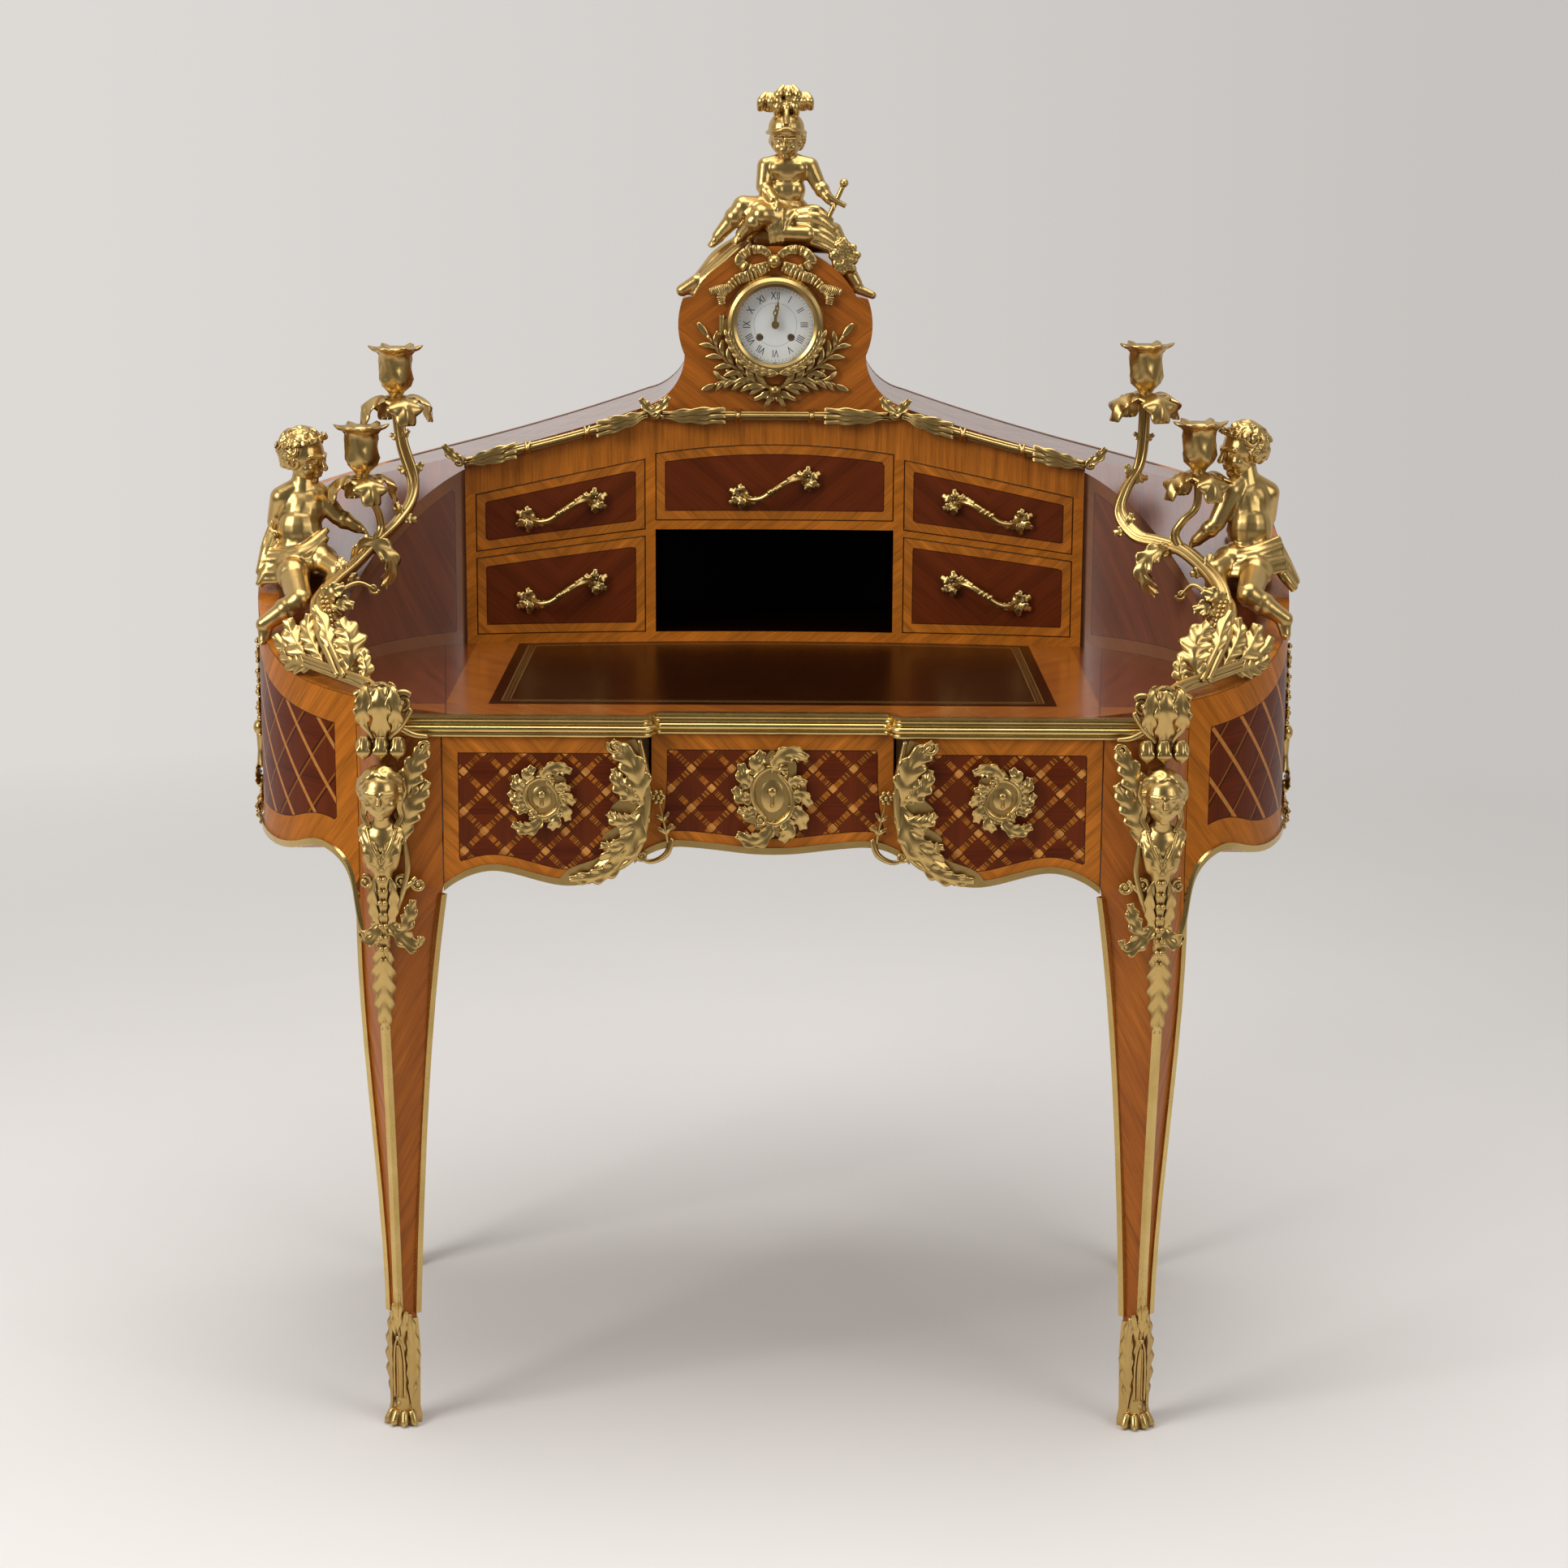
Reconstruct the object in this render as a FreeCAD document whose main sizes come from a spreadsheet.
import FreeCAD, Part
import math
import os
from types import SimpleNamespace

# A bonheur du jour: a lady's writing desk on four legs, with a horseshoe plan, a gallery of small drawers,
# a clock in its hood and gilt mounts. Millimetres, +Z up, +Y to the back, origin on the floor at the middle.

Vec = FreeCAD.Vector

SIZES = [
    ("front_y", -331.85, "front plane of the frieze, from the middle of the whole depth"),
    ("half_width", 558, "middle to the widest point of the side walls"),
    ("half_depth", 391, "middle of the plan ellipse to the outside of the back wall"),
    ("centre_setback", 299, "front plane to the middle of the plan ellipse"),
    ("wall", 22, "thickness of the side and back walls"),
    ("writing_height", 775, "floor to the writing surface"),
    ("top_thickness", 20, "thickness of the writing top"),
    ("leather_depth", 2, "depth of the leather's recess"),
    ("leather_half", 291, "half width of the leather at its front"),
    ("leather_front", 60, "front plane to the leather"),
    ("leather_margin", 9, "wood left between the leather and the gallery"),
    ("moulding_reach", 12, "brass edge moulding, out from the writing top"),
    ("moulding_drop", 2, "brass edge moulding, below the writing top's underside"),
    ("step_half", 112, "half width of the recessed middle of the front edge"),
    ("step_depth", 20, "how far the middle of the front edge is set back"),
    ("step_small", 4, "outer corner radius of the step"),
    ("edge_front", 4, "front plane to the front edge of the writing top"),
    ("leg_x", 388, "front legs, from the middle"),
    ("leg_y", 38, "front legs, behind the front plane"),
    ("rear_leg_angle", 144.5, "place of the rear legs round the plan ellipse, degrees"),
    ("rear_leg_inset", 26, "rear leg's middle, inside the wall's outer face"),
    ("rear_leg_share", 0.86, "rear legs' thickness, as a share of the front legs'"),
    ("foot_side", 17, "leg, across a face at the foot"),
    ("ankle_side", 19, "leg, across a face above the paw"),
    ("shin_side", 30, "leg, across a face at the shin"),
    ("calf_side", 50, "leg, across a face below the mask mount"),
    ("post_side", 66, "leg, across a face beside the frieze"),
    ("post_drop", 160, "straight upper part of the legs"),
    ("sole", 6, "thickness of the sabots under the legs"),
    ("leg_turn", 15, "turn of the front legs' arris from straight ahead, degrees"),
    ("sabot_height", 118, "height of the gilt paws"),
    ("sabot_wall", 2.5, "metal of the sabots round the leg"),
    ("fillet_side", 7, "gilt fillets on the legs' edges, before they are let in"),
    ("apron_low", 225, "wall beside the legs, lowest point below the writing top's underside"),
    ("apron_high", 137, "wall, arched parts below the writing top's underside"),
    ("apron_middle", 155, "wall, middle of a side below the writing top's underside"),
    ("strip_height", 7, "gilt strips along the lower edges"),
    ("strip_depth", 3, "gilt strips, out from the wood"),
    ("front_board", 18, "thickness of the frieze drawer fronts"),
    ("front_face", 2, "front plane to the faces of the outer drawer fronts"),
    ("side_outer", 334, "outer drawers, outer edge from the middle"),
    ("side_inner", 126, "outer drawers, innermost reach from the middle"),
    ("drawer_top_gap", 3, "drawer fronts, below the writing top"),
    ("box_side", 10, "thickness of drawer sides and backs"),
    ("box_floor", 6, "thickness of drawer bottoms"),
    ("box_drop", 105, "drawer bottoms, below the writing top's underside"),
    ("box_headroom", 17, "drawer sides, below the writing top's underside"),
    ("box_length", 400, "length of the frieze drawers' sides"),
    ("running_gap", 0.3, "clearance under and beside what slides"),
    ("partition", 13, "thickness of the frieze partitions"),
    ("runner_height", 10, "height of the drawer runners"),
    ("runner_width", 22, "width of the drawer runners"),
    ("lobe_radius", 228, "radius of the round bays inside the arms"),
    ("lobe_x", 234, "middle of the bays, from the middle"),
    ("lobe_y", 219, "middle of the bays, behind the front plane"),
    ("arm_rise", 8, "arm at the front corner, above the writing surface"),
    ("shoulder_rise", 211, "arm and hood ends, above the writing surface"),
    ("gallery_radius", 1880, "radius of the hollow gallery front"),
    ("gallery_middle", 443, "front plane to the middle of the gallery front"),
    ("gallery_half", 345, "half width of the gallery over its end boards"),
    ("gallery_board", 11, "thickness of end boards and dividers"),
    ("base_board", 10, "thickness of the gallery base"),
    ("niche_half", 134, "half width of the pigeonhole"),
    ("gallery_front", 16, "thickness of the gallery drawer fronts and front board"),
    ("shelf_outer", 97, "shelf underside at its outer end, above the writing surface"),
    ("shelf_inner", 120, "shelf underside at its inner end, above the writing surface"),
    ("shelf_thickness", 7, "thickness of the gallery shelves"),
    ("niche_rise", 127, "pigeonhole top, above the writing surface"),
    ("drawer_line_outer", 169, "top of the upper drawers at their outer end"),
    ("drawer_line_inner", 207, "top of the upper drawers at their inner end"),
    ("middle_line", 213, "top of the middle drawer at its ends"),
    ("panel_rise", 250, "top of the board over the gallery drawers, below the clock"),
    ("middle_crown", 10, "rise of the middle drawer's arched top"),
    ("small_box_length", 165, "length of the gallery drawers' sides"),
    ("small_board", 6, "thickness of the gallery drawers' sides, backs and bottoms"),
    ("back_gap", 6, "gallery drawers, short of the back wall"),
    ("front_gap", 0.8, "gap round the gallery drawer fronts"),
    ("hood_board", 12, "thickness of the hood"),
    ("hood_fall", 0.2, "fall of the hood's line outside the gallery, for each millimetre outwards"),
    ("hood_lip", 8, "hood, out from the gallery front"),
    ("cornice_x", 150, "start of the hood's hollow sweep, from the middle"),
    ("cornice_rise", 264, "start of the hood's hollow sweep, above the writing surface"),
    ("waist_half", 101, "half width of the clock case at its waist"),
    ("waist_rise", 323, "waist of the clock case, above the writing surface"),
    ("bulge_half", 108, "half width of the clock case at the dial"),
    ("dial_rise", 357, "middle of the dial, above the writing surface"),
    ("crest_rise", 388, "foot of the clock case's dome"),
    ("dome_half", 90, "half width of the dome"),
    ("dome_rise", 443, "top of the dome, above the writing surface"),
    ("clock_front_y", 437, "front plane to the clock's front board"),
    ("clock_board", 13, "thickness of the clock's front board"),
    ("dial_radius", 45, "radius of the enamel dial"),
    ("dial_depth", 2.5, "thickness of the enamel dial"),
    ("drum_radius", 47.5, "radius of the movement's drum"),
    ("drum_length", 82, "length of the movement's drum"),
    ("flange_radius", 53, "radius of the movement's flange"),
    ("flange_depth", 3, "thickness of the movement's flange"),
    ("bezel_outer", 55.5, "outer radius of the glazed bezel"),
    ("bezel_inner", 43, "inner radius of the glazed bezel"),
    ("bezel_depth", 15, "depth of the glazed bezel"),
    ("glass_thickness", 2, "thickness of the clock glass"),
    ("hinge_pin", 1.4, "radius of the clock's hinge pins"),
    ("hinge_knuckle", 3.2, "radius of the clock's hinge knuckles"),
    ("hinge_height", 22, "height of the clock's hinges over their lugs"),
    ("hinge_lug", 4, "height of a hinge lug"),
    ("pin_fit", 0.05, "radial clearance of pins and arbors"),
    ("winding_x", 17.5, "winding squares, from the dial's middle"),
    ("winding_drop", 14, "winding squares, below the dial's middle"),
    ("winding_radius", 2.4, "radius of the winding arbors"),
    ("winding_hole", 4.2, "radius of the dial's winding holes"),
    ("hour_arbor", 2.0, "radius of the pipe that carries the hour hand"),
    ("minute_arbor", 1.2, "radius of the arbor that carries the minute hand"),
    ("hour_length", 24, "length of the hour hand"),
    ("minute_length", 35, "length of the minute hand"),
    ("minute_rest", 6.8, "minute hand at rest, degrees past the hour"),
    ("door_radius", 56, "radius of the clock's back door"),
    ("door_thickness", 3, "thickness of the clock's back door"),
    ("pendulum_length", 84, "suspension to the middle of the pendulum bob"),
    ("bob_radius", 15, "radius of the pendulum bob"),
    ("candle_bore", 10.5, "radius of the candle bores"),
    ("candle_depth", 28, "depth of the candle bores"),
    ("pan_radius", 28, "radius of the drip pans"),
    ("socket_length", 58, "height of a candle socket with its pan"),
    ("handle_span", 76, "between the feet of a gallery handle"),
    ("handle_reach", 19, "bow of a gallery handle, out from the drawer"),
    ("handle_radius", 3, "thickness of a gallery handle's bow"),
    ("lock_width", 40, "width of a lock case"),
    ("lock_height", 34, "height of a lock case"),
    ("lock_depth", 9, "depth of a lock case"),
    ("bolt_width", 12, "width of a lock bolt"),
    ("bolt_depth", 4, "thickness of a lock bolt"),
    ("bolt_length", 25, "length of a lock bolt"),
    ("bolt_travel", 12, "travel of a lock bolt"),
    ("escutcheon_half", 24, "half width of the outer escutcheons"),
    ("middle_escutcheon_half", 32, "half width of the middle escutcheon"),
    ("mount_depth", 5, "relief of flat mounts"),
    ("head_radius", 21, "head of the arm figures"),
    ("clock_head_radius", 20, "head of the clock's figure"),
]

doc = FreeCAD.newDocument("bonheur_du_jour")
sheet = doc.addObject("Spreadsheet::Sheet", "sizes")
for row, (alias, value, note) in enumerate(SIZES, start=1):
    sheet.set(f"A{row}", note)
    sheet.set(f"B{row}", str(value))
    sheet.setAlias(f"B{row}", alias)
doc.recompute()
S = SimpleNamespace(**{alias: float(sheet.get(alias)) for alias, value, note in SIZES})

UNDERSIDE = S.writing_height - S.top_thickness
FULL_HEIGHT = S.writing_height + S.dome_rise + 100
FAR = 2 * S.half_width
SIDES = {"left": -1, "right": 1}
NODES = []

# Top line of the arms: depth behind the front plane, and share of the rise from corner to gallery
ARM_SWEEP = [(-50, 0.0), (60, 0.014), (150, 0.084), (240, 0.27), (327, 0.54), (395, 0.83),
             (S.gallery_middle - 8, 1.0)]


# Frame and plan

def at(x, y, z):
    """A point from the middle, behind the front plane and above the floor."""
    return Vec(x, S.front_y + y, z)


def above(rise):
    """Height of a point above the writing surface."""
    return S.writing_height + rise


def below(drop):
    """Height of a point below the writing top's underside."""
    return UNDERSIDE - drop


def plan_x(y, inset=0):
    """Half width of the plan ellipse at a depth behind the front plane."""
    share = (y - S.centre_setback) / (S.half_depth - inset)
    return (S.half_width - inset) * math.sqrt(max(0.0, 1 - share * share))


def plan_y(x, inset=0):
    """Depth of the plan ellipse's back at a distance from the middle."""
    share = x / (S.half_width - inset)
    return S.centre_setback + (S.half_depth - inset) * math.sqrt(max(0.0, 1 - share * share))


# Solid builders

def outline(points):
    """Closed wire through corner points; a nested list is one smooth curve through its points."""
    edges = []
    last = points[-1][-1] if isinstance(points[-1], list) else points[-1]
    for item in points:
        stretch = item if isinstance(item, list) else [item]
        if last.distanceToPoint(stretch[0]) > 1e-6:
            edges.append(Part.LineSegment(last, stretch[0]).toShape())
        if len(stretch) == 3:
            edges.append(Part.Arc(*stretch).toShape())
        elif len(stretch) > 1:
            curve = Part.BSplineCurve()
            curve.interpolate(stretch)
            edges.append(curve.toShape())
        last = stretch[-1]
    return Part.Wire(edges)


def sheet_of(points):
    """Flat face inside an outline."""
    return Part.Face(outline(points))


def front_prism(points, y0, y1):
    """Solid from an outline of (x, z) points, drawn from y0 back to y1."""
    def lift(item):
        return [lift(p) for p in item] if isinstance(item, list) else at(item[0], y0, item[1])
    return sheet_of([lift(p) for p in points]).extrude(Vec(0, y1 - y0, 0))


def side_prism(points):
    """Solid from an outline of (y, z) points, drawn across the whole width."""
    def lift(item):
        return [lift(p) for p in item] if isinstance(item, list) else at(-FAR, item[0], item[1])
    return sheet_of([lift(p) for p in points]).extrude(Vec(2 * FAR, 0, 0))


def plan_prism(points, z0, z1):
    """Solid from an outline of (x, y) points, drawn up from z0 to z1."""
    def lift(item):
        return [lift(p) for p in item] if isinstance(item, list) else at(item[0], item[1], z0)
    return sheet_of([lift(p) for p in points]).extrude(Vec(0, 0, z1 - z0))


def block(x0, x1, y0, y1, z0, z1):
    """Box between two corners."""
    return Part.makeBox(x1 - x0, y1 - y0, z1 - z0, at(x0, y0, z0))


def ellipse_prism(inset, z0, z1):
    """Drum over the plan ellipse, drawn in by an inset."""
    ring = Part.Ellipse(at(0, S.centre_setback, z0), S.half_width - inset, S.half_depth - inset)
    return Part.Face(Part.Wire(ring.toShape())).extrude(Vec(0, 0, z1 - z0))


def gallery_drum(inset, z0, z1):
    """Everything in front of the hollow gallery front; an inset moves that face back."""
    centre = at(0, S.gallery_middle - S.gallery_radius, z0)
    return Part.makeCylinder(S.gallery_radius + inset, z1 - z0, centre)


def gallery_y(x):
    """Depth of the hollow gallery front at a distance from the middle."""
    return S.gallery_middle - S.gallery_radius + math.sqrt(S.gallery_radius ** 2 - x * x)


def limb(start, start_radius, end, end_radius):
    """Round tapering limb with ball ends, from one point to another."""
    span = end.sub(start)
    length = span.Length
    lean = math.asin((start_radius - end_radius) / length)
    rise, reach = math.sin(lean), math.cos(lean)
    low = [Vec(0, 0, -start_radius),
           Vec(start_radius * math.cos((lean - math.pi / 2) / 2), 0,
               start_radius * math.sin((lean - math.pi / 2) / 2)),
           Vec(start_radius * reach, 0, start_radius * rise)]
    half = (lean + math.pi / 2) / 2
    high = [Vec(end_radius * reach, 0, length + end_radius * rise),
            Vec(end_radius * math.cos(half), 0, length + end_radius * math.sin(half)),
            Vec(0, 0, length + end_radius)]
    solid = sheet_of([low, high]).revolve(Vec(0, 0, 0), Vec(0, 0, 1), 360)
    solid.Placement = FreeCAD.Placement(start, FreeCAD.Rotation(Vec(0, 0, 1), span))
    return solid


def ball(centre, radius):
    """Sphere about a point."""
    return Part.makeSphere(radius, centre)


def tube(points, radii):
    """Round bar through points, with its own radius at each."""
    rings = []
    for index, point in enumerate(points):
        ahead = points[min(index + 1, len(points) - 1)]
        behind = points[max(index - 1, 0)]
        rings.append(Part.Wire(Part.Circle(point, ahead.sub(behind), radii[index]).toShape()))
    return Part.makeLoft(rings, True, False)


def turned(profile, foot):
    """Solid of revolution about an upright axis, from (radius, height) points above its foot."""
    points = [Vec(radius, 0, height) for radius, height in profile]
    solid = sheet_of(points).revolve(Vec(0, 0, 0), Vec(0, 0, 1), 360)
    solid.translate(foot)
    return solid


def disc(radius, y0, y1, x=0.0, z=None):
    """Round plate facing the front, from y0 back to y1, about the dial's middle unless told."""
    height = above(S.dial_rise) if z is None else z
    return Part.makeCylinder(radius, y1 - y0, at(x, y0, height), Vec(0, 1, 0))


def fused(solids):
    """One solid from several that run into each other."""
    whole = solids[0].multiFuse(solids[1:]) if len(solids) > 1 else solids[0]
    return largest(whole)


def largest(shape):
    """The main solid of a cut or joined shape, without its chips."""
    return max(shape.Solids, key=lambda solid: solid.Volume)


def cleared(shape, others):
    """A shape with its neighbours taken out, so that it seats on them."""
    for other in others:
        shape = shape.cut(other)
    return largest(shape)


def mirrored(shape):
    """The same shape on the other side of the middle."""
    return shape.mirror(Vec(0, 0, 0), Vec(1, 0, 0))


def node(label, shapes):
    """A sub-part of one or more solids, under its own label."""
    shapes = shapes if isinstance(shapes, list) else [shapes]
    item = doc.addObject("Part::Feature", label)
    item.Label = label
    whole = shapes[0] if len(shapes) == 1 else Part.makeCompound(shapes)
    item.Shape = whole
    item.Placement = whole.Placement
    NODES.append(item)
    return item


def bound(kind, label, **sizes):
    """A primitive whose sizes and place follow the sheet by expressions."""
    item = doc.addObject(kind, label)
    for name, expression in sizes.items():
        item.setExpression(name.replace("__", "."), expression)
    return item


def group(label, items):
    """A sub-part made of several bound primitives."""
    whole = doc.addObject("Part::Compound", label)
    whole.Label = label
    whole.Links = items
    NODES.append(whole)
    return whole


# Legs and feet

def leg_levels():
    """Heights of the sections that shape a leg, from the foot to the knee."""
    knee = below(S.post_drop)
    shin = S.sabot_height + 0.3 * (knee - S.sabot_height)
    calf = S.sabot_height + 0.7 * (knee - S.sabot_height)
    return [S.sole, 0.5 * S.sabot_height, S.sabot_height + S.sole, shin, calf, knee]


def square_section(side, turn):
    """Corners of a square standing on its arris: front arris, inner, back and outer corner."""
    reach = side / math.sqrt(2)
    angles = [turn - 90, turn, turn + 90, turn + 180]
    return [(reach * math.cos(math.radians(a)), reach * math.sin(math.radians(a))) for a in angles]


def front_post():
    """Corners of the left front leg beside the frieze, flush with the drawer front and the side wall."""
    inner = S.leg_x - S.side_outer - S.front_gap
    wall_y = S.leg_y + 8
    return [(-8, S.front_face - 8 - S.leg_y), (inner, S.front_face - S.leg_y),
            (inner - 2, 40), (S.leg_x - plan_x(wall_y, 1), wall_y - S.leg_y)]


def leg_sections(rear):
    """Corner lists of a left leg at each level, about the leg's own middle."""
    sides = [S.foot_side, S.ankle_side, S.ankle_side + 2, S.shin_side, S.calf_side]
    if rear:
        return [square_section(S.rear_leg_share * side, 0) for side in sides + [S.post_side]]
    return [square_section(side, -S.leg_turn) for side in sides] + [front_post()]


def leg_frame(rear):
    """Placement of a left leg: its middle on the plan and its turn."""
    if not rear:
        return FreeCAD.Placement(at(-S.leg_x, S.leg_y, 0), FreeCAD.Rotation())
    angle = math.radians(S.rear_leg_angle)
    x, y = S.half_width * math.cos(angle), S.half_depth * math.sin(angle)
    out = Vec(x / S.half_width ** 2, y / S.half_depth ** 2, 0).normalize()
    middle = at(x, S.centre_setback + y, 0).sub(out * S.rear_leg_inset)
    return FreeCAD.Placement(middle, FreeCAD.Rotation(Vec(0, -1, 0), out))


def leg_solid(rear):
    """A left leg: lofted up to the knee, with a straight post above it."""
    frame = leg_frame(rear)
    wires = []
    for level, corners in zip(leg_levels(), leg_sections(rear)):
        wires.append(outline([frame.multVec(Vec(x, y, level)) for x, y in corners]))
    post = Part.Face(wires[-1]).extrude(Vec(0, 0, S.post_drop))
    return fused([Part.makeLoft(wires, True, False), post])


def sabot_solid(rear, leg):
    """Gilt paw round the end of a leg, standing on a flat sole."""
    turn = 0 if rear else -S.leg_turn
    share = S.rear_leg_share if rear else 1
    shape = [(0, S.foot_side + 9), (8, S.foot_side + 10), (20, S.foot_side + 7),
             (0.36 * S.sabot_height, S.ankle_side + 2 * S.sabot_wall + 0.5),
             (0.72 * S.sabot_height, S.ankle_side + 2 * S.sabot_wall + 2), (S.sabot_height, S.ankle_side + 4)]
    frame = leg_frame(rear)
    wires = []
    for level, side in shape:
        corners = square_section(share * side, turn)
        wires.append(outline([frame.multVec(Vec(x, y, level)) for x, y in corners]))
    return cleared(Part.makeLoft(wires, True, True), [leg])


def fillet_solids(rear, leg):
    """Gilt fillets let into three edges of a leg, from the sabot up to the frieze."""
    levels = leg_levels()[2:6]
    sections = leg_sections(rear)[2:6]
    frame = leg_frame(rear)
    frieze = block(-FAR, FAR, -FAR, FAR, below(S.post_drop + S.fillet_side), FULL_HEIGHT)
    solids = []
    for corner in (0, 1, 3):
        wires = []
        stop = 3 if corner == 0 else 4
        for level, corners in list(zip(levels, sections))[:stop]:
            middle = Vec(corners[corner][0], corners[corner][1], level)
            square = square_section(S.fillet_side, 0)
            wires.append(outline([frame.multVec(middle + Vec(x, y, 0)) for x, y in square]))
        solids.append(cleared(Part.makeLoft(wires, True, False), [leg, frieze]))
    return solids


# Walls

def under_swoop():
    """Everything under the sweeping top line of the arms."""
    rise = S.shoulder_rise - S.arm_rise
    line = [(y, above(S.arm_rise + share * rise)) for y, share in ARM_SWEEP]
    return side_prism([line, (FAR, above(S.shoulder_rise)), (FAR, 0), (ARM_SWEEP[0][0], 0)])


def hood_line(extra=0.0):
    """Top line of the hood from left to right, as stretches of (x, z) points."""
    def mirror(points):
        return [(-x, z) for x, z in reversed(points)]
    ends = [(-S.gallery_half - extra, above(S.shoulder_rise - S.hood_fall * extra)),
            (-S.gallery_half, above(S.shoulder_rise))]
    rise = [(-S.gallery_half, above(S.shoulder_rise)),
            (-(S.gallery_half + S.cornice_x) / 2, above((S.shoulder_rise + S.cornice_rise) / 2 - 3)),
            (-S.cornice_x, above(S.cornice_rise))]
    hollow = [(-S.cornice_x, above(S.cornice_rise)),
              (-S.waist_half - 0.32 * (S.cornice_x - S.waist_half),
               above(S.cornice_rise + 0.32 * (S.waist_rise - S.cornice_rise))),
              (-S.waist_half, above(S.waist_rise))]
    bulge = [(-S.waist_half, above(S.waist_rise)), (-S.bulge_half, above(S.dial_rise - 4)),
             (-S.waist_half - 2, above(S.crest_rise - 3))]
    dome = [(-S.dome_half, above(S.crest_rise)), (0, above(S.dome_rise)), (S.dome_half, above(S.crest_rise))]
    line = ends + [rise, hollow, bulge, dome, mirror(bulge), mirror(hollow), mirror(rise)]
    return line + [(-x, z) for x, z in reversed(ends)]


def under_hood(inset, y0, y1):
    """Everything under the hood's top line, or under its inside, between two depths."""
    wide = FAR - S.gallery_half
    floor = [(S.gallery_half + wide, 0), (-S.gallery_half - wide, 0)]

    def lift(item):
        return [lift(p) for p in item] if isinstance(item, list) else at(item[0], y0, item[1])
    wire = outline([lift(p) for p in hood_line(wide) + floor])
    if inset:
        wire = wire.makeOffset2D(-inset)
    return Part.Face(wire).extrude(Vec(0, y1 - y0, 0))


def over_apron():
    """Everything above the shaped lower edges, on the sides and on the back."""
    mid = S.centre_setback
    reach = 0.78 * S.half_depth
    half = [(-0.85, S.apron_low), (-0.82, S.apron_middle + 20), (-0.785, S.apron_high + 11),
            (-0.72, S.apron_high), (-0.59, S.apron_high + 9), (-0.29, S.apron_middle), (0.0, S.apron_middle)]
    share = half + [(-t, drop) for t, drop in reversed(half[:-1])]
    side_line = [(mid + t * reach, below(drop)) for t, drop in share]
    side = side_prism([side_line, (FAR, below(S.apron_low + 40)), (FAR, FULL_HEIGHT), (-FAR, FULL_HEIGHT),
                       (-FAR, below(S.apron_low + 40))])
    angle = math.radians(S.rear_leg_angle)
    back_reach = -S.half_width * math.cos(angle)
    back_line = [(t * back_reach, below(drop)) for t, drop in share]
    back = front_prism([back_line, (FAR, below(S.apron_low + 40)), (FAR, FULL_HEIGHT), (-FAR, FULL_HEIGHT),
                        (-FAR, below(S.apron_low + 40))], -FAR, FAR)
    return side, back


def back_sector():
    """The part of the plan behind the two rear legs."""
    angle = math.radians(S.rear_leg_angle)
    x = 2 * S.half_width * math.cos(angle)
    y = S.centre_setback + 2 * S.half_depth * math.sin(angle)
    return plan_prism([(0, S.centre_setback), (-x, y), (x, y)], 0, FULL_HEIGHT)


def wall_ring(outset, inset, z0=0.0):
    """Upright shell round the plan between two ellipses."""
    return ellipse_prism(-outset, z0, FULL_HEIGHT).cut(ellipse_prism(inset, z0 - 1, FULL_HEIGHT + 1))


def left_side():
    """The plan left of the middle and behind the front leg's middle."""
    return block(-FAR, 0, S.leg_y + 2, FAR, 0, FULL_HEIGHT)


def wall_shapes(legs):
    """Left side wall and back wall, cut to the legs."""
    side_edge, back_edge = over_apron()
    ring = wall_ring(0, S.wall)
    sector = back_sector()
    side = ring.common(left_side()).cut(sector).common(side_edge).common(under_swoop())
    side = side.common(under_hood(0, -FAR, FAR))
    side = cleared(side, [legs["front"], legs["rear"]])
    back = ring.common(sector).common(back_edge).common(under_hood(0, -FAR, FAR))
    opening = disc(S.flange_radius - 1, S.centre_setback, FAR)
    back = cleared(back, [legs["rear"], mirrored(legs["rear"]), opening])
    return side, back


def strip_shapes(legs):
    """Gilt strips along the lower edges of the left side wall and of the back wall."""
    side_edge, back_edge = over_apron()
    raised = Vec(0, 0, S.strip_height)
    ring = wall_ring(S.strip_depth, 0)
    sector = back_sector()
    side = ring.common(left_side()).cut(sector).common(side_edge.cut(side_edge.translated(raised)))
    back = ring.common(sector).common(back_edge.cut(back_edge.translated(raised)))
    side = cleared(side, [legs["front"], legs["rear"]])
    return side, cleared(back, [legs["rear"], mirrored(legs["rear"])])


# Writing top

def front_edge(offset):
    """Front edge of the writing top from left to right, as stretches of (x, y) points."""
    y = S.edge_front
    small = S.step_small
    large = S.step_depth - small
    start = S.step_half + large + small
    half = math.sqrt(0.5)
    convex = [(-start, y), (-start + small * half, y + small * (1 - half)), (-start + small, y + small)]
    hollow = [(-start + small, y + small), (-S.step_half - large * half, y + small + large * half),
              (-S.step_half, y + S.step_depth)]
    left = [(-S.leg_x + offset, y), convex, hollow]
    right = []
    for item in reversed(left):
        right.append([(-x, v) for x, v in reversed(item)] if isinstance(item, list) else (-item[0], item[1]))
    return left + right


def leather_shape(z0, z1):
    """Leather panel, bowed along the gallery at its back."""
    back_half = S.leather_half - 4
    back = [(back_half, gallery_y(back_half) - S.leather_margin), (0, S.gallery_middle - S.leather_margin),
            (-back_half, gallery_y(back_half) - S.leather_margin)]
    return plan_prism([(-S.leather_half, S.leather_front), (S.leather_half, S.leather_front), back], z0, z1)


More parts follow.
